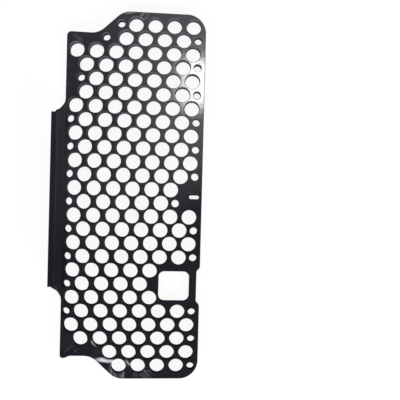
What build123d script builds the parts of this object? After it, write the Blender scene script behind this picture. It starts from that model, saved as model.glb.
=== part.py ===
from build123d import *
import os

# Motorcycle radiator guard: one perforated, folded sheet that lies on its back with its flange up.
# Millimetres. X runs from the folded outer side to the inner side, Y up the sheet, Z away from the floor.
# The origin is on the floor, below the middle of the part.

# Sheet
sheet_thickness = 4.0
overall_width = 97.4  # from the flange's outer face to the inner edge
sheet_height = 248.4

# Outline
shoulder_drop = 15.4  # step down from the top and bottom edges to the outer shoulders
ramp_run = 16.4  # width of the slope between a shoulder and its edge
ramp_inset = 28.8  # from the outer edge to the middle of the slopes
sweep_radius = 12.5  # inner corners and both ends of the slopes
shoulder_radius = 3.0
ear_width = 3.5  # small ear at the lower outer corner
ear_drop = 1.3
ear_slope = 2.5
ear_radius = 2.0

# Square window beside the inner edge, and the shallow notch that follows it
window_width = 20.9
window_height = 20.6
window_radius = 4.0
window_inset = 7.3  # from the inner edge to the window
window_below = 61.2  # from the middle of the sheet down to the window's centre
notch_depth = 2.3
notch_floor = 21.4
notch_slope = 2.3
notch_radius = 2.5

# Tie slot at mid-height of the inner edge
slot_length = 6.8
slot_width = 2.4
slot_inset = 1.9  # from the inner edge to the slot's end

# Flange on the outer edge, folded up towards the front
flange_height = 12.5  # above the front face
flange_length = 111.2  # along its rim
flange_above = 52.0  # from the middle of the sheet up to the rim's upper end
bend_radius = 0.6  # inside of the fold

# Perforation: staggered round holes, with small ones where a full one does not fit
hole_diameter = 10.0
small_diameter = 5.0
hole_pitch = 13.0
row_pitch = 9.26
edge_margin = 8.4  # from the outermost hole centres to the top, bottom and inner edges
least_web = 0.6  # metal left between a hole and any edge of the sheet

# Lands: places that stay solid
slot_land_width = 15.4
slot_land_height = 17.4
upper_land_width = 7.0
upper_land_height = 24.0
upper_land_above = 78.6  # from the middle of the sheet up to the land's centre
corner_land_width = 6.0
corner_land_height = 14.5
shoulder_land_height = 5.0

# Places that follow from the sizes
inner_x = overall_width / 2
flange_x = -overall_width / 2
fold_x = flange_x + sheet_thickness + bend_radius
top_y = sheet_height / 2
shoulder_y = top_y - shoulder_drop
ear_y = -shoulder_y - ear_drop
ramp_foot_x = fold_x + ramp_inset - ramp_run / 2
ramp_head_x = fold_x + ramp_inset + ramp_run / 2
window_x = inner_x - window_inset - window_width / 2
notch_x = inner_x - notch_depth
notch_upper_y = notch_floor / 2 - window_below
notch_lower_y = -notch_floor / 2 - window_below
slot_x = inner_x - slot_inset - slot_length / 2
flange_top_z = sheet_thickness + flange_height
foot_top_y = flange_above + flange_height
foot_bottom_y = flange_above - flange_length - flange_height

# Corners of the outline, clockwise from the upper outer one, each with its radius
corners = [
    (fold_x, shoulder_y, shoulder_radius),
    (ramp_foot_x, shoulder_y, sweep_radius),
    (ramp_head_x, top_y, sweep_radius),
    (inner_x, top_y, sweep_radius),
    (inner_x, notch_upper_y + notch_slope, notch_radius),
    (notch_x, notch_upper_y, notch_radius),
    (notch_x, notch_lower_y, notch_radius),
    (inner_x, notch_lower_y - notch_slope, notch_radius),
    (inner_x, -top_y, sweep_radius),
    (ramp_head_x, -top_y, sweep_radius),
    (ramp_foot_x, -shoulder_y, sweep_radius),
    (fold_x + ear_width + ear_slope, -shoulder_y, ear_radius),
    (fold_x + ear_width, ear_y, ear_radius),
    (fold_x, ear_y, ear_radius),
]

# Flat blank with its window and tie slot, before the holes
with BuildSketch() as blank:
    with BuildLine():
        FilletPolyline(*[(x, y) for x, y, _ in corners], radius=[r for _, _, r in corners], close=True)
    make_face()
    with Locations((window_x, -window_below)):
        RectangleRounded(window_width, window_height, window_radius, mode=Mode.SUBTRACT)
    with Locations((slot_x, 0)):
        SlotOverall(slot_length, slot_width, mode=Mode.SUBTRACT)

# Lands beside the tie slot, above the flange, in the lower outer corner and along the lower shoulder
with BuildSketch() as lands:
    with Locations((inner_x - slot_land_width / 2, 0)):
        Rectangle(slot_land_width, slot_land_height)
    with Locations((fold_x + upper_land_width / 2, upper_land_above)):
        Rectangle(upper_land_width, upper_land_height)
    with Locations((fold_x, -shoulder_y)):
        Rectangle(corner_land_width, corner_land_height, align=Align.MIN)
        Rectangle(ramp_foot_x - fold_x, shoulder_land_height, align=Align.MIN)


def fits(x, y, diameter):
    """True where a hole keeps its web to every edge of the blank and stays off the lands."""
    sheet = blank.face()
    center = Vertex(x, y, 0)
    reach = diameter / 2
    if not sheet.is_inside(tuple(center)) or lands.sketch.distance_to(center) < reach:
        return False
    return all(wire.distance_to(center) >= reach + least_web for wire in sheet.wires())


# Each place of the staggered pattern takes a full hole where that fits, else a small one there, else
# a small one a quarter pitch nearer the middle, else none
row_count = int((sheet_height - 2 * edge_margin) / row_pitch) + 1
column_count = int(overall_width / hole_pitch) + 2
full_holes = []
small_holes = []
for row in range(row_count):
    y = ((row_count - 1) / 2 - row) * row_pitch
    first_x = inner_x - edge_margin + (row % 2) * hole_pitch / 2
    for column in range(column_count):
        x = first_x - column * hole_pitch
        nearer_x = x - hole_pitch / 4 if x > 0 else x + hole_pitch / 4
        if fits(x, y, hole_diameter):
            full_holes.append((x, y))
        elif fits(x, y, small_diameter):
            small_holes.append((x, y))
        elif fits(nearer_x, y, small_diameter):
            small_holes.append((nearer_x, y))

# The flange: a folded strip whose ends sweep from its rim down to the sheet and in to the outer edge,
# in arcs as tall as the flange
bend_center = (fold_x, sheet_thickness + bend_radius)
with BuildPart() as flange:
    with BuildSketch(Plane.XZ.offset(-foot_top_y)):
        with BuildLine():
            outer_bend = CenterArc(bend_center, sheet_thickness + bend_radius, 180, 90)
            inner_bend = CenterArc(bend_center, bend_radius, 180, 90)
            rim_outer = (flange_x, flange_top_z)
            rim_inner = (flange_x + sheet_thickness, flange_top_z)
            Polyline(outer_bend @ 0, rim_outer, rim_inner, inner_bend @ 0)
            Line(inner_bend @ 1, outer_bend @ 1)
        make_face()
    extrude(amount=foot_top_y - foot_bottom_y)
    with BuildSketch(Plane.YZ.offset(flange_x)):
        with Locations((foot_top_y, flange_top_z), (foot_bottom_y, flange_top_z)):
            Circle(flange_height)
    extrude(amount=fold_x - flange_x, mode=Mode.SUBTRACT)
    with BuildSketch():
        with Locations((fold_x - flange_height, foot_top_y), (fold_x - flange_height, foot_bottom_y)):
            Circle(flange_height)
    extrude(amount=flange_top_z, mode=Mode.SUBTRACT)

# The guard: perforated panel and folded flange in one piece
with BuildPart() as radiator_guard:
    with BuildSketch():
        add(blank.sketch)
        with Locations(*full_holes):
            Circle(hole_diameter / 2, mode=Mode.SUBTRACT)
        with Locations(*small_holes):
            Circle(small_diameter / 2, mode=Mode.SUBTRACT)
    extrude(amount=sheet_thickness)
    add(flange.part)

radiator_guard.part.label = "radiator_guard"

os.makedirs("parts", exist_ok=True)
export_step(radiator_guard.part, "parts/radiator_guard.step")
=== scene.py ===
import math
from collections import namedtuple

import bpy
import numpy as np
from bpy.props import FloatProperty, FloatVectorProperty, PointerProperty
from mathutils import Matrix, Vector


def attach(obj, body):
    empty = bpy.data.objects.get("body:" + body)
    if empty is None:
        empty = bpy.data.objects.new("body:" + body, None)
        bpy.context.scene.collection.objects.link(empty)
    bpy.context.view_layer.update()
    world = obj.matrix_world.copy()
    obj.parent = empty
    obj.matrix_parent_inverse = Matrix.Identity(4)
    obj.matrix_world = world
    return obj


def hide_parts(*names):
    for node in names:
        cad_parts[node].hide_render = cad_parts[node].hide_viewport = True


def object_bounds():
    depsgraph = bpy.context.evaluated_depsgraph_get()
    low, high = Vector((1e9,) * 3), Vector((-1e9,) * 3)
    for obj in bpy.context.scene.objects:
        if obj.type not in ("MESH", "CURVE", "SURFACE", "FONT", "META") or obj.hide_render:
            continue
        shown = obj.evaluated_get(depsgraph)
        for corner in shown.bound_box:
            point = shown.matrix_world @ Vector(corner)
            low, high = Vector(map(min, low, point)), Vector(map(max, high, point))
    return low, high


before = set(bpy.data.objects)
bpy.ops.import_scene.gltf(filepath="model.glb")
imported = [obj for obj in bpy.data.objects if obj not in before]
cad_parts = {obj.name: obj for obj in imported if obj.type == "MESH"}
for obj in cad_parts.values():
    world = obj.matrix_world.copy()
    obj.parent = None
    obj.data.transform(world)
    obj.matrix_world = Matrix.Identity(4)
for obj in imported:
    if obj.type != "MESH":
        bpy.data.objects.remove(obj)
cad_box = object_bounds()

bl_info = {
    "name": "Motorcycle radiator guard",
    "version": (1, 0, 0),
    "blender": (4, 5, 0),
    "location": "3D View > Sidebar > Guard",
    "description": "Dresses a folded, perforated radiator guard and lays it on a pale studio floor",
    "category": "Object",
}

MM = 0.001
NODE = "radiator_guard"

# Places on the sheet
SHEET_THICKNESS = 4.0 * MM
FOLD_MIDDLE = (-44.1 * MM, -3.6 * MM)
RIM_CREASE = (-44.7 * MM, 0.0, 16.5 * MM)  # inner edge of the flange's rim
LOWER_THIRD = cad_box[0][1] / 3  # upper end of the sheet's lower third, above which the painted light on cut edges turns paler

# Rounding of the edges
WELD_STEP = 0.001 * MM  # points that agree to this are one
SHARP_FROM = math.radians(35)  # an edge that turns by more is sharp
LEAST_LEAN = 0.1  # keeps a step short where the two edges at its point nearly close up
LEAST_AGREEMENT = 0.5  # cosine of the most that a triangle may turn when its points move
ARC_RISE = 1 - math.sqrt(0.5)  # from a square corner to the middle of its arc, as a share of both steps

# Where the thin coat lies: on what slants, and on what stands above the front face
FLAT_FROM = 0.97  # upward share of a triangle's direction, from which it is flat
FRONT_CLEARANCE = 0.02 * MM

# The sound coat
COAT_IOR = 1.5
CLOUD_DETAIL = 4.0
CLOUD_SPREAD = (0.3, 0.7)  # noise at the glossiest and at the dullest patches
CLOUD_ROUGHNESS = (-0.03, 0.05)  # what those patches add to the roughness
PEEL_DETAIL = 1.0
PEEL_STRENGTH = 0.06
WAVE_DEPTH = 0.2 * MM

# The thin coat, whose colour is painted light, with the shares of that colour in different places
THIN_ROUGHNESS = 0.9
GRIT_DETAIL = 3.0
GRIT_STRENGTH = 0.2
FOLD_REACH = (12 * MM, 84 * MM)  # of the painted light, from the middle of the fold, across and along it
FOLD_SHARE = 0.7
WALL_SHARE = 0.4  # the flange's inner side, painted light
RIM_SHARE = 0.15  # the flange's rim, with less painted light, which makes it painted shade
RIM_FADE = (-0.5 * MM, -0.3 * MM)  # heights from the rim's, between which one turns to the other
CUT_FADE = 0.05 * MM  # height above the front face at which the painted light of the cut edges ends
# A painted highlight along the crease of the flange's rim
CREASE_WIDTH = 1 * MM
CREASE_SHARE = 0.8

# A place of pale hairlines on the front, partly rubbed coat and partly painted highlights and glints: its
# middle in mm, its half length and half width in mm, the direction of its hairlines in degrees from the
# sheet's width, the spacing of the hairlines in mm, how pale they get, and how much wider than usual they
# are, up to about 0.3, where they close up
RubAndGlint = namedtuple("RubAndGlint", "middle reach turn spacing worn wider", defaults=(0.0,))
RUBS_AND_GLINTS = (
    RubAndGlint((-3.7, 123.0), (6.0, 1.4), 5.0, 0.8, 0.3),
    RubAndGlint((6.7, 121.1), (4.4, 3.4), 43.0, 1.1, 0.35),
    RubAndGlint((31.6, 122.4), (6.0, 1.1), 16.0, 0.7, 0.25),
    RubAndGlint((-37.0, 105.0), (6.0, 2.0), -37.0, 0.5, 0.15),
    RubAndGlint((-41.8, 85.8), (5.0, 1.4), 3.0, 0.6, 0.07),
    RubAndGlint((-42.2, 74.1), (4.6, 1.4), 14.0, 0.6, 0.06),
    RubAndGlint((43.3, 2.9), (6.0, 1.0), 2.0, 0.9, 0.5),
    RubAndGlint((-37.5, -103.9), (6.4, 1.2), 39.0, 0.8, 0.09),
    RubAndGlint((-33.3, -105.4), (3.4, 1.2), 37.0, 0.8, 0.08),
    RubAndGlint((-39.3, -99.3), (8.5, 7.0), 46.0, 0.7, 0.03),
    RubAndGlint((-20.3, -106.2), (7.0, 2.8), 17.0, 0.7, 0.05),
    RubAndGlint((-21.0, -100.2), (3.8, 1.9), -40.0, 0.9, 0.8, 0.1),
    RubAndGlint((-8.0, -119.5), (10.0, 6.0), -80.0, 2.0, 0.24),
    RubAndGlint((-8.1, -120.8), (5.8, 2.4), -42.0, 0.8, 0.25),
    RubAndGlint((-1.9, -121.1), (5.0, 2.3), -87.0, 0.9, 0.37),
    RubAndGlint((6.5, -120.9), (5.0, 1.9), -89.0, 0.7, 0.17),
    RubAndGlint((12.0, -120.6), (7.5, 3.3), -34.0, 0.7, 0.22),
    RubAndGlint((14.5, -118.7), (8.0, 1.9), -22.0, 0.7, 0.32),
    RubAndGlint((1.2, -112.9), (4.8, 2.7), -47.0, 0.8, 0.5),
    RubAndGlint((-13.8, -111.6), (8.5, 2.2), -6.0, 2.0, 1.0, 0.25),
)
RUB_CORE = 0.25  # share of the reach inside which a rub is worn most
RUB_DEPTH = SHEET_THICKNESS / 2  # how far a rub reaches down a cut edge
RUB_STRETCH = 0.6  # waves of a hairline along half the length of its rub
RUB_DETAIL = 3.0
HAIRLINE = (0.46, 0.66)  # noise between which a hairline rises from nothing to its full
RUB_ROUGHNESS = 0.3  # what a rub adds to the roughness

# Soft glows of the studio dome: the direction of each, the shares of that direction where it starts and where
# it is full, and its brightness
Glow = namedtuple("Glow", "towards start full brightness")
DOME_GLOWS = (
    Glow((-0.55, 0.83, 0.0), -0.08, 0.1, 0.36),
    Glow((0.7, 0.71, 0.0), 0.02, 0.4, 0.85),
    Glow((0.045, 0.186, 0.98), 0.975, 0.998, 0.5),
    Glow((0.115, 0.316, 0.942), 0.955, 0.998, 0.45),
)
DOME_BASE = 0.08  # brightness of the dome away from its glows
DOME_SHADE = 0.6  # share of the dome's brightness that is left on the flange's side
SHADE_EDGE = (-0.33, -0.12)  # sideways shares of the direction between which that shade ends
WALL_TOP = (0.5, 0.6)  # upward shares of the direction between which the studio's white walls end

# Lamps with an even brightness over their face, in metres. One that isn't mirrored only lights, and leaves no
# white patch on the sheet
Lamp = namedtuple("Lamp", "name place aim size radiance mirrored")
LAMPS = (
    Lamp("window_light", (0.07, 0.338, 0.8), (0.07, 0.338, 0.0), (0.07, 0.135), 36.0, True),
    Lamp("side_fill", (0.9, -1.2, 0.45), (0.0, 0.0, 0.0), (0.8, 0.6), 18.0, False),
    Lamp("far_fill", (-0.7, -1.3, 0.45), (0.0, 0.0, 0.0), (0.8, 0.6), 18.0, False),
)

FLOOR_WHITE = 0.9  # share of plain white in what is seen of the floor, whose other part keeps the shadow
FLOOR_DROP = 0.05 * MM  # keeps the floor off the sheet's back
SENSOR_WIDTH = 36.0
CLIP_START = 10 * MM

# The Mix node's sockets for colours, by number, because their names repeat
SHARE, FIRST, SECOND, MIXED = 0, 6, 7, 2


def linear(hex_colour):
    """Linear red, green and blue of an sRGB colour written as #rrggbb."""
    shares = [int(hex_colour[i : i + 2], 16) / 255 for i in (1, 3, 5)]
    return tuple(s / 12.92 if s <= 0.04045 else ((s + 0.055) / 1.055) ** 2.4 for s in shares)


class GuardCoatSettings(bpy.types.PropertyGroup):
    """Sizes and colours of the coated sheet."""

    edge_width: FloatProperty(
        name="Edge width",
        description="How far the coat rounds each cut edge",
        default=0.4 * MM,
        unit="LENGTH",
    )
    peel_size: FloatProperty(
        name="Orange peel",
        description="Spacing of the fine waves that the melted powder leaves",
        default=2.5 * MM,
        unit="LENGTH",
    )
    cloud_size: FloatProperty(
        name="Gloss clouds",
        description="Size of the patches in which the gloss varies",
        default=22.0 * MM,
        unit="LENGTH",
    )
    roughness: FloatProperty(
        name="Roughness",
        description="Roughness of the sound coat",
        default=0.1,
        subtype="FACTOR",
    )
    black: FloatVectorProperty(
        name="Coat",
        description="Colour of the sound coat",
        default=linear("#14141a"),
        subtype="COLOR",
    )
    haze: FloatVectorProperty(
        name="Haze",
        description="Colour of the coat where handling has dulled it",
        default=linear("#1c1c24"),
        subtype="COLOR",
    )
    # Painted light: this grey on the cut edges, the fold band and the flange stands in for the light they
    # catch
    edge: FloatVectorProperty(
        name="Thin coat at the foot",
        description="Colour of the coat in the holes and along the fold, on the sheet's lower third",
        default=linear("#24242a"),
        subtype="COLOR",
    )
    # Painted light: the grey is paler at the head, where the light falls brighter
    edge_head_painted_light: FloatVectorProperty(
        name="Thin coat at the head",
        description="Colour of the coat in the holes and along the fold, at the sheet's head",
        default=linear("#4c4c54"),
        subtype="COLOR",
    )
    # Partly rubbed metal, partly painted highlights and glints along edges and corners
    rubbed: FloatVectorProperty(
        name="Rubbed metal",
        description="Colour of the hairlines where the coat is rubbed",
        default=linear("#c4c4c8"),
        subtype="COLOR",
    )


class GuardStageSettings(bpy.types.PropertyGroup):
    """Floor and camera."""

    floor: FloatVectorProperty(
        name="Floor",
        description="Colour of the studio floor",
        default=linear("#f6f6f4"),
        subtype="COLOR",
    )
    floor_size: FloatProperty(
        name="Floor size",
        description="Length of the floor's sides",
        default=6.0,
        unit="LENGTH",
    )
    camera_place: FloatVectorProperty(
        name="Camera place",
        description="Where the lens is",
        default=(34.2 * MM, -0.3 * MM, 242.8 * MM),
        subtype="XYZ",
        unit="LENGTH",
    )
    camera_aim: FloatVectorProperty(
        name="Camera aim",
        description="Point in the middle of the picture, at the height of the sheet's front",
        default=(47.5 * MM, -1.7 * MM, SHEET_THICKNESS),
        subtype="XYZ",
        unit="LENGTH",
    )
    camera_roll: FloatProperty(
        name="Camera roll",
        description="Turn of the picture's upright from the sheet's",
        default=math.radians(1.5),
        subtype="ANGLE",
    )
    lens: FloatProperty(
        name="Lens",
        description="Focal length on a sensor 36 mm wide",
        default=31.5,
        unit="CAMERA",
    )


def add(tree, kind, inputs=None, **settings):
    """Adds a node of this kind with its settings; each input takes a value or the socket that feeds it."""
    node = tree.nodes.new(kind)
    for name, value in settings.items():
        setattr(node, name, value)
    for name, value in (inputs or {}).items():
        if isinstance(value, bpy.types.NodeSocket):
            tree.links.new(value, node.inputs[name])
        else:
            node.inputs[name].default_value = value
    return node


def new_material(name):
    """An empty node material."""
    material = bpy.data.materials.new(name)
    material.use_nodes = True
    material.node_tree.nodes.clear()
    return material


def rub_and_glint_mask(tree, place, rub):
    """Hairlines along the rub's direction, thinning out from its middle and gone below the front face.

    They are a noise drawn out along the rub. The rub's middle is added to the noise's place, so that no two
    rubs look alike.
    """
    along, across = rub.reach[0] * MM, rub.reach[1] * MM
    local = add(
        tree,
        "ShaderNodeMapping",
        {
            "Vector": place,
            "Location": (rub.middle[0] * MM, rub.middle[1] * MM, SHEET_THICKNESS),
            "Rotation": (0, 0, math.radians(rub.turn)),
            "Scale": (along, across, RUB_DEPTH),
        },
        vector_type="TEXTURE",
    ).outputs["Vector"]
    distance = add(tree, "ShaderNodeVectorMath", {0: local}, operation="LENGTH").outputs["Value"]
    fade = add(
        tree,
        "ShaderNodeMapRange",
        {"Value": distance, "From Min": RUB_CORE, "From Max": 1.0, "To Min": rub.worn, "To Max": 0.0},
        interpolation_type="SMOOTHSTEP",
    ).outputs["Result"]
    lines = across / (rub.spacing * MM)
    stretched = add(
        tree,
        "ShaderNodeVectorMath",
        {0: local, 1: (RUB_STRETCH, lines, 0.0), 2: (*rub.middle, 0.0)},
        operation="MULTIPLY_ADD",
    ).outputs["Vector"]
    streaks = add(
        tree, "ShaderNodeTexNoise", {"Vector": stretched, "Scale": 1.0, "Detail": RUB_DETAIL}
    ).outputs["Fac"]
    hairlines = add(
        tree,
        "ShaderNodeMapRange",
        {"Value": streaks, "From Min": HAIRLINE[0] - rub.wider, "From Max": HAIRLINE[1] - rub.wider},
    ).outputs["Result"]
    return add(tree, "ShaderNodeMath", {0: fade, 1: hairlines}, operation="MULTIPLY").outputs["Value"]


def rub_and_glint_share(tree, place):
    """How pale the hairlines get, from rubbed coat and painted glints: the greatest of all the rubs."""
    worn = 0.0
    for rub in RUBS_AND_GLINTS:
        mask = rub_and_glint_mask(tree, place, rub)
        worn = add(tree, "ShaderNodeMath", {0: worn, 1: mask}, operation="MAXIMUM").outputs["Value"]
    return worn


def sound_film(tree, place, coat):
    """Gloss clouds of the sound coat, and its colour, which turns from black to haze with them."""
    cloud = add(
        tree, "ShaderNodeTexNoise", {"Vector": place, "Scale": 1 / coat.cloud_size, "Detail": CLOUD_DETAIL}
    ).outputs["Fac"]
    colour = add(
        tree,
        "ShaderNodeMix",
        {SHARE: cloud, FIRST: (*coat.black, 1.0), SECOND: (*coat.haze, 1.0)},
        data_type="RGBA",
    ).outputs[MIXED]
    return cloud, colour


def painted_edge_light(tree, place, coat):
    """Painted light of the thin film: a grey that is even on the sheet's lower third and turns paler up to
    its head.
    """
    along = add(tree, "ShaderNodeSeparateXYZ", {"Vector": place}).outputs["Y"]
    head = add(
        tree, "ShaderNodeMapRange", {"Value": along, "From Min": LOWER_THIRD, "From Max": cad_box[1][1]}
    ).outputs["Result"]
    return add(
        tree,
        "ShaderNodeMix",
        {SHARE: head, FIRST: (*coat.edge, 1.0), SECOND: (*coat.edge_head_painted_light, 1.0)},
        data_type="RGBA",
    ).outputs[MIXED]


def film_waves(tree, place, coat, detail, strength):
    """Normals of the fine waves that the melted powder leaves, with finer ones on them as detail grows."""
    height = add(
        tree, "ShaderNodeTexNoise", {"Vector": place, "Scale": 1 / coat.peel_size, "Detail": detail}
    ).outputs["Fac"]
    return add(
        tree, "ShaderNodeBump", {"Height": height, "Strength": strength, "Distance": WAVE_DEPTH}
    ).outputs["Normal"]


def fold_painted_light(tree, place):
    """Share of painted light on the flat sheet: the thin film's grey in a long oval round the middle of the
    fold, fading outwards.
    """
    local = add(
        tree,
        "ShaderNodeMapping",
        {"Vector": place, "Location": (*FOLD_MIDDLE, 0.0), "Scale": (*FOLD_REACH, 1.0)},
        vector_type="TEXTURE",
    ).outputs["Vector"]
    level = add(
        tree, "ShaderNodeVectorMath", {0: local, 1: (1.0, 1.0, 0.0)}, operation="MULTIPLY"
    ).outputs["Vector"]
    distance = add(tree, "ShaderNodeVectorMath", {0: level}, operation="LENGTH").outputs["Value"]
    return add(
        tree,
        "ShaderNodeMapRange",
        {"Value": distance, "From Min": 0.0, "From Max": 1.0, "To Min": FOLD_SHARE, "To Max": 0.0},
        interpolation_type="SMOOTHSTEP",
    ).outputs["Result"]


def cut_painted_light(tree, place):
    """Share of painted light, the thin film's grey, on cut edges and flange.

    It is whole up to the front face, less on the flange's inner side and least on the flange's rim, which is
    painted shade, with a painted highlight along the crease between those two.
    """
    height = add(tree, "ShaderNodeSeparateXYZ", {"Vector": place}).outputs["Z"]
    flange = add(
        tree,
        "ShaderNodeMapRange",
        {
            "Value": height,
            "From Min": RIM_CREASE[2] + RIM_FADE[0],
            "From Max": RIM_CREASE[2] + RIM_FADE[1],
            "To Min": WALL_SHARE,
            "To Max": RIM_SHARE,
        },
    ).outputs["Result"]
    cut = add(
        tree,
        "ShaderNodeMapRange",
        {
            "Value": height,
            "From Min": SHEET_THICKNESS,
            "From Max": SHEET_THICKNESS + CUT_FADE,
            "To Min": 1.0,
            "To Max": flange,
        },
    ).outputs["Result"]
    from_crease = add(
        tree, "ShaderNodeVectorMath", {0: place, 1: RIM_CREASE}, operation="SUBTRACT"
    ).outputs["Vector"]
    square = add(
        tree, "ShaderNodeVectorMath", {0: from_crease, 1: (1.0, 0.0, 1.0)}, operation="MULTIPLY"
    ).outputs["Vector"]
    distance = add(tree, "ShaderNodeVectorMath", {0: square}, operation="LENGTH").outputs["Value"]
    # Painted highlight along the rim's crease
    crease = add(
        tree,
        "ShaderNodeMapRange",
        {"Value": distance, "From Min": 0.0, "From Max": CREASE_WIDTH, "To Min": CREASE_SHARE, "To Max": 0.0},
    ).outputs["Result"]
    return add(tree, "ShaderNodeMath", {0: cut, 1: crease}, operation="MAXIMUM").outputs["Value"]


def powder_coated_aluminium(coat):
    """Semi-gloss black powder coat, sprayed dry on aluminium sheet and melted to a film.

    It gives the eye a deep, slightly blue black with a clear sheen, a faint orange peel, patches of uneven
    gloss, a painted band of light beside the fold, and pale hairlines on corners and edges, partly rubbed
    coat and partly painted highlights and glints.
    """
    material = new_material("powder_coated_aluminium")
    tree = material.node_tree
    place = add(tree, "ShaderNodeTexCoord").outputs["Object"]
    cloud, black = sound_film(tree, place, coat)
    # Pale hairlines: partly rubbed coat, partly painted highlights and glints
    worn = rub_and_glint_share(tree, place)
    # Painted light: the thin film's grey in a band beside the fold
    film = add(
        tree,
        "ShaderNodeMix",
        {SHARE: fold_painted_light(tree, place), FIRST: black, SECOND: painted_edge_light(tree, place, coat)},
        data_type="RGBA",
    ).outputs[MIXED]
    colour = add(
        tree,
        "ShaderNodeMix",
        {SHARE: worn, FIRST: film, SECOND: (*coat.rubbed, 1.0)},
        data_type="RGBA",
    ).outputs[MIXED]
    gloss = add(
        tree,
        "ShaderNodeMapRange",
        {
            "Value": cloud,
            "From Min": CLOUD_SPREAD[0],
            "From Max": CLOUD_SPREAD[1],
            "To Min": coat.roughness + CLOUD_ROUGHNESS[0],
            "To Max": coat.roughness + CLOUD_ROUGHNESS[1],
        },
    ).outputs["Result"]
    rough = add(
        tree, "ShaderNodeMath", {0: worn, 1: RUB_ROUGHNESS, 2: gloss}, operation="MULTIPLY_ADD"
    ).outputs["Value"]
    peel = film_waves(tree, place, coat, PEEL_DETAIL, PEEL_STRENGTH)
    shader = add(
        tree,
        "ShaderNodeBsdfPrincipled",
        {"Base Color": colour, "Roughness": rough, "Normal": peel, "IOR": COAT_IOR},
    ).outputs["BSDF"]
    add(tree, "ShaderNodeOutputMaterial", {"Surface": shader})
    return material


def thin_coat_painted_light(coat):
    """Powder coat where the spray struck at a slant: in the holes, on cut edges and up the flange.

    There the film is thinner and rougher, so the eye sees an even dull black with hardly any sheen. Its
    colour
    is painted light: a grey that is greyer on the cut edges than on the flange and paler towards the head,
    with painted shade on the flange's rim and a painted highlight along its crease.
    """
    material = new_material("thin_coat_painted_light")
    tree = material.node_tree
    place = add(tree, "ShaderNodeTexCoord").outputs["Object"]
    _, black = sound_film(tree, place, coat)
    # Painted light: the grey of the cut edges and flange, with painted shade on the rim and a painted
    # highlight on the crease
    film = add(
        tree,
        "ShaderNodeMix",
        {SHARE: cut_painted_light(tree, place), FIRST: black, SECOND: painted_edge_light(tree, place, coat)},
        data_type="RGBA",
    ).outputs[MIXED]
    # Pale hairlines over it: partly rubbed coat, partly painted highlights and glints
    colour = add(
        tree,
        "ShaderNodeMix",
        {SHARE: rub_and_glint_share(tree, place), FIRST: film, SECOND: (*coat.rubbed, 1.0)},
        data_type="RGBA",
    ).outputs[MIXED]
    grit = film_waves(tree, place, coat, GRIT_DETAIL, GRIT_STRENGTH)
    shader = add(
        tree,
        "ShaderNodeBsdfPrincipled",
        {"Base Color": colour, "Roughness": THIN_ROUGHNESS, "Normal": grit, "Specular IOR Level": 0.0},
    ).outputs["BSDF"]
    add(tree, "ShaderNodeOutputMaterial", {"Surface": shader})
    return material


def welded(mesh):
    """Corner points and triangles of a mesh of loose triangles, with the points that coincide made one."""
    points = np.empty(len(mesh.vertices) * 3)
    mesh.vertices.foreach_get("co", points)
    points = points.reshape(-1, 3)
    corners = np.empty(len(mesh.loops), dtype=np.int32)
    mesh.loops.foreach_get("vertex_index", corners)
    grid = np.round(points / WELD_STEP).astype(np.int64)
    _, first, same = np.unique(grid, axis=0, return_index=True, return_inverse=True)
    triangles = same.reshape(-1)[corners].reshape(-1, 3)
    return points[first], triangles[unlike(triangles)]


def unlike(triangles):
    """True for each triangle whose three points differ."""
    return (np.diff(np.sort(triangles, axis=1), axis=1) > 0).all(axis=1)


def unit(vectors):
    """The vectors at length one."""
    return vectors / np.linalg.norm(vectors, axis=-1, keepdims=True)


def facing(corners):
    """Outward direction of each triangle: the unit cross product of two of its sides."""
    return unit(np.cross(corners[:, 1] - corners[:, 0], corners[:, 2] - corners[:, 0]))


def smooth_patches(count, one, other):
    """Patch number of each of count triangles, where one and other are the triangles that meet at soft edges.

    Each triangle starts with its own number, and the lower number spreads over the soft edges until none
    changes.
    """
    patch = np.arange(count)
    while True:
        shared = np.minimum(patch[one], patch[other])
        lower = patch.copy()
        np.minimum.at(lower, one, shared)
        np.minimum.at(lower, other, shared)
        lower = lower[lower]
        if (lower == patch).all():
            return np.unique(patch, return_inverse=True)[1].reshape(-1)
        patch = lower


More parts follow.
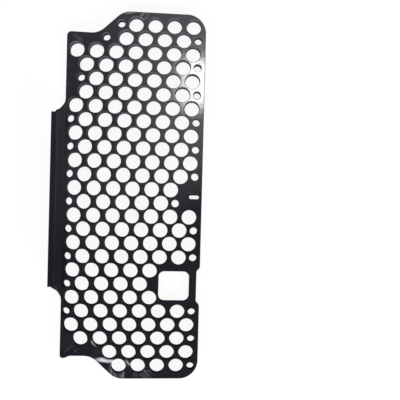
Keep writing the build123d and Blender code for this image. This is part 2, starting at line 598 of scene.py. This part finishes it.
def rounded(points, triangles, width):
    """Points, triangles and corner normals of a closed mesh whose sharp edges are rounded over.

    A point of a sharp edge becomes three: one moved by width into the smooth patch on each side, square to
    the edge, and one on the arc between those two. A point where more patches meet, or whose move would fold
    a triangle over, stays as it is, so the rounding runs out there.
    """
    # Each side of each triangle, with its twin, which runs back along it in the next triangle
    starts = triangles.reshape(-1)
    following = np.roll(np.arange(starts.size).reshape(-1, 3), -1, axis=1).reshape(-1)
    ends = starts[following]
    owner = np.repeat(np.arange(len(triangles)), 3)
    there = starts * len(points) + ends
    back = ends * len(points) + starts
    order = np.argsort(there)
    twin = order[np.searchsorted(there, back, sorter=order) % there.size]
    if (there[twin] != back).any():
        raise RuntimeError("The welded sheet isn't closed")

    plane = facing(points[triangles])
    sharp = (plane[owner] * plane[owner[twin]]).sum(axis=1) < math.cos(SHARP_FROM)
    patch = smooth_patches(len(triangles), owner[~sharp], owner[twin[~sharp]])

    # Each point once for each patch that it lies in, with the mean normal there, weighted by corner angle
    place, share = np.unique(starts * (patch.max() + 1) + patch[owner], return_inverse=True)
    share = share.reshape(-1)
    vertex = place // (patch.max() + 1)
    along = unit(points[ends] - points[starts])
    before = np.roll(along.reshape(-1, 3, 3), 1, axis=1).reshape(-1, 3)
    angle = np.arccos(np.clip(-(along * before).sum(axis=1), -1, 1))
    normals = np.zeros((len(place), 3))
    np.add.at(normals, share, plane[owner] * angle[:, None])
    normals = unit(normals)

    # Step into the patch that keeps the same distance from both edges of the point
    inward = np.cross(plane[owner[sharp]], along[sharp])
    lean = np.zeros((len(place), 3))
    borders = np.zeros(len(place))
    for corner in (share[sharp], share[following[sharp]]):
        np.add.at(lean, corner, inward)
        np.add.at(borders, corner, 1)
    step = 2 * width * lean / np.maximum((lean**2).sum(axis=1), LEAST_LEAN)[:, None]

    # Only a point that lies in two patches, and where one sharp edge passes through both, is free to move
    sides = np.bincount(vertex, minlength=len(points))
    passed = np.bincount(vertex, borders == 2, minlength=len(points))
    free = (sides == 2) & (passed == 2)
    folded = np.ones(len(triangles), dtype=bool)
    while folded.any():
        shift = np.where(free[vertex][:, None], step, 0.0)
        moved = points[vertex] + shift
        folded = (facing(moved[share].reshape(-1, 3, 3)) * plane).sum(axis=1) < LEAST_AGREEMENT
        free[triangles[folded]] = False

    ridge = points.copy()
    np.add.at(ridge, vertex, shift * ARC_RISE)
    index = np.where(free[vertex], len(points) + np.arange(len(place)), vertex)

    # Four triangles along each sharp edge, from the near patch over the ridge to the far patch
    half = np.flatnonzero(sharp & (np.arange(sharp.size) < twin))
    near_p, near_q = share[half], share[following[half]]
    far_p, far_q = share[following[twin[half]]], share[twin[half]]
    p, q = starts[half], ends[half]
    tilt_p, tilt_q = unit(normals[near_p] + normals[far_p]), unit(normals[near_q] + normals[far_q])
    strips = [
        (index[near_q], index[near_p], p, normals[near_q], normals[near_p], tilt_p),
        (index[near_q], p, q, normals[near_q], tilt_p, tilt_q),
        (q, p, index[far_p], tilt_q, tilt_p, normals[far_p]),
        (q, index[far_p], index[far_q], tilt_q, normals[far_p], normals[far_q]),
    ]
    faces = [index[share].reshape(-1, 3)] + [np.stack(strip[:3], axis=1) for strip in strips]
    leaning = [normals[share].reshape(-1, 3, 3)] + [np.stack(strip[3:], axis=1) for strip in strips]
    faces, leaning = np.concatenate(faces), np.concatenate(leaning)
    whole = unlike(faces)
    used, faces = np.unique(faces[whole], return_inverse=True)
    inside = np.clip(np.concatenate([ridge, moved]), points.min(axis=0), points.max(axis=0))
    return inside[used], faces.reshape(-1, 3), leaning[whole]


class GUARD_OT_sheet(bpy.types.Operator):
    """Makes the coated sheet, with its cut edges rounded by the coat"""

    bl_idname = "guard.sheet"
    bl_label = "Coated sheet"

    def execute(self, context):
        coat = context.scene.guard_coat
        points, triangles, normals = rounded(*welded(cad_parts[NODE].data), coat.edge_width)
        mesh = bpy.data.meshes.new("coated_sheet")
        mesh.from_pydata(points.tolist(), [], triangles.tolist())
        mesh.shade_smooth()
        mesh.normals_split_custom_set(normals.reshape(-1, 3).tolist())
        mesh.materials.append(powder_coated_aluminium(coat))
        mesh.materials.append(thin_coat_painted_light(coat))
        up = np.abs(facing(points[triangles])[:, 2])
        height = points[triangles].mean(axis=1)[:, 2]
        thin = (up < FLAT_FROM) | (height > SHEET_THICKNESS + FRONT_CLEARANCE)
        mesh.polygons.foreach_set("material_index", thin.astype(np.int32))
        sheet = bpy.data.objects.new("coated_sheet", mesh)
        context.scene.collection.objects.link(sheet)

        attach(sheet, "root")
        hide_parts(NODE)
        return {"FINISHED"}


def seen_rays(tree):
    """One for what is seen directly, in gloss or through glass, and zero for what only lights."""
    path = add(tree, "ShaderNodeLightPath").outputs
    seen = path["Is Camera Ray"]
    for ray in ("Is Glossy Ray", "Is Transmission Ray"):
        seen = add(tree, "ShaderNodeMath", {0: seen, 1: path[ray]}, operation="MAXIMUM").outputs["Value"]
    return seen


def studio_floor_paint(stage):
    """Matt white studio paint, rolled smooth: seen directly it stays white, and it keeps a soft shadow."""
    material = new_material("matt_white_paint")
    tree = material.node_tree
    share = add(
        tree, "ShaderNodeMath", {0: seen_rays(tree), 1: FLOOR_WHITE}, operation="MULTIPLY"
    ).outputs["Value"]
    matt = add(tree, "ShaderNodeBsdfDiffuse", {"Color": (*stage.floor, 1.0)}).outputs["BSDF"]
    white = add(tree, "ShaderNodeEmission", {"Color": (1, 1, 1, 1), "Strength": 1.0}).outputs["Emission"]
    mixed = add(tree, "ShaderNodeMixShader", {0: share, 1: matt, 2: white}).outputs["Shader"]
    add(tree, "ShaderNodeOutputMaterial", {"Surface": mixed})
    return material


def studio_dome(world):
    """White walls all round, which are seen and mirrored but give no light, under a dome of soft light.

    The dome's brightness in a direction is its base and each glow that reaches there, less on the flange's
    side.
    """
    world.use_nodes = True
    tree = world.node_tree
    tree.nodes.clear()
    direction = add(tree, "ShaderNodeTexCoord").outputs["Generated"]
    level = DOME_BASE
    for glow in DOME_GLOWS:
        reach = add(
            tree, "ShaderNodeVectorMath", {0: direction, 1: glow.towards}, operation="DOT_PRODUCT"
        ).outputs["Value"]
        rise = add(
            tree,
            "ShaderNodeMapRange",
            {
                "Value": reach,
                "From Min": glow.start,
                "From Max": glow.full,
                "To Min": 0.0,
                "To Max": glow.brightness,
            },
            interpolation_type="SMOOTHSTEP",
        ).outputs["Result"]
        level = add(tree, "ShaderNodeMath", {0: level, 1: rise}, operation="ADD").outputs["Value"]
    axes = add(tree, "ShaderNodeSeparateXYZ", {"Vector": direction}).outputs
    shade = add(
        tree,
        "ShaderNodeMapRange",
        {
            "Value": axes["X"],
            "From Min": SHADE_EDGE[0],
            "From Max": SHADE_EDGE[1],
            "To Min": DOME_SHADE,
            "To Max": 1.0,
        },
    ).outputs["Result"]
    shaded = add(tree, "ShaderNodeMath", {0: level, 1: shade}, operation="MULTIPLY").outputs["Value"]
    soft = add(
        tree, "ShaderNodeBackground", {"Color": (1, 1, 1, 1), "Strength": shaded}
    ).outputs["Background"]
    white = add(
        tree, "ShaderNodeBackground", {"Color": (1, 1, 1, 1), "Strength": 1.0}
    ).outputs["Background"]
    wall = add(
        tree,
        "ShaderNodeMapRange",
        {"Value": axes["Z"], "From Min": WALL_TOP[0], "From Max": WALL_TOP[1], "To Min": 1.0, "To Max": 0.0},
    ).outputs["Result"]
    share = add(tree, "ShaderNodeMath", {0: seen_rays(tree), 1: wall}, operation="MULTIPLY").outputs["Value"]
    mixed = add(tree, "ShaderNodeMixShader", {0: share, 1: soft, 2: white}).outputs["Shader"]
    add(tree, "ShaderNodeOutputWorld", {"Surface": mixed})


def softbox(scene, lamp):
    """A rectangular lamp that faces its aim, with a power of its radiance times pi times its area."""
    light = bpy.data.lights.new(lamp.name, "AREA")
    light.shape = "RECTANGLE"
    light.size, light.size_y = lamp.size
    light.energy = lamp.radiance * math.pi * lamp.size[0] * lamp.size[1]
    holder = bpy.data.objects.new(lamp.name, light)
    holder.location = lamp.place
    holder.rotation_euler = (Vector(lamp.aim) - Vector(lamp.place)).to_track_quat("-Z", "Y").to_euler()
    holder.visible_camera = False
    holder.visible_glossy = lamp.mirrored
    scene.collection.objects.link(holder)


class GUARD_OT_stage(bpy.types.Operator):
    """Makes the floor, the studio light and the camera"""

    bl_idname = "guard.stage"
    bl_label = "Stage"

    def execute(self, context):
        scene = context.scene
        stage = scene.guard_stage

        half = stage.floor_size / 2
        mesh = bpy.data.meshes.new("studio_floor")
        corners = ((-half, -half), (half, -half), (half, half), (-half, half))
        mesh.from_pydata([(x, y, -FLOOR_DROP) for x, y in corners], [], [(0, 1, 2, 3)])
        mesh.materials.append(studio_floor_paint(stage))
        floor = bpy.data.objects.new("studio_floor", mesh)
        scene.collection.objects.link(floor)

        scene.world = bpy.data.worlds.new("studio")
        studio_dome(scene.world)
        for lamp in LAMPS:
            softbox(scene, lamp)

        camera = bpy.data.cameras.new("camera")
        camera.lens = stage.lens
        camera.sensor_width = SENSOR_WIDTH
        camera.clip_start = CLIP_START
        holder = bpy.data.objects.new("camera", camera)
        ahead = (Vector(stage.camera_aim) - Vector(stage.camera_place)).normalized()
        upright = Vector((-math.sin(stage.camera_roll), math.cos(stage.camera_roll), 0.0))
        right = ahead.cross(upright).normalized()
        turn = Matrix((right, right.cross(ahead), -ahead)).transposed()
        holder.matrix_world = Matrix.Translation(stage.camera_place) @ turn.to_4x4()
        scene.collection.objects.link(holder)
        scene.camera = holder
        scene.view_settings.view_transform = "Standard"
        return {"FINISHED"}


class GUARD_PT_panel(bpy.types.Panel):
    """Lists the guard's settings and the steps that build it"""

    bl_idname = "GUARD_PT_panel"
    bl_label = "Radiator guard"
    bl_space_type = "VIEW_3D"
    bl_region_type = "UI"
    bl_category = "Guard"

    def draw(self, context):
        for settings, operator in (
            (context.scene.guard_coat, GUARD_OT_sheet),
            (context.scene.guard_stage, GUARD_OT_stage),
        ):
            for name in settings.__annotations__:
                self.layout.prop(settings, name)
            self.layout.operator(operator.bl_idname)


CLASSES = (GuardCoatSettings, GuardStageSettings, GUARD_OT_sheet, GUARD_OT_stage, GUARD_PT_panel)


def register():
    for cls in CLASSES:
        bpy.utils.register_class(cls)
    bpy.types.Scene.guard_coat = PointerProperty(type=GuardCoatSettings)
    bpy.types.Scene.guard_stage = PointerProperty(type=GuardStageSettings)


def unregister():
    del bpy.types.Scene.guard_stage
    del bpy.types.Scene.guard_coat
    for cls in reversed(CLASSES):
        bpy.utils.unregister_class(cls)


def main():
    register()
    bpy.ops.guard.sheet()
    bpy.ops.guard.stage()


if __name__ == "__main__":
    main()
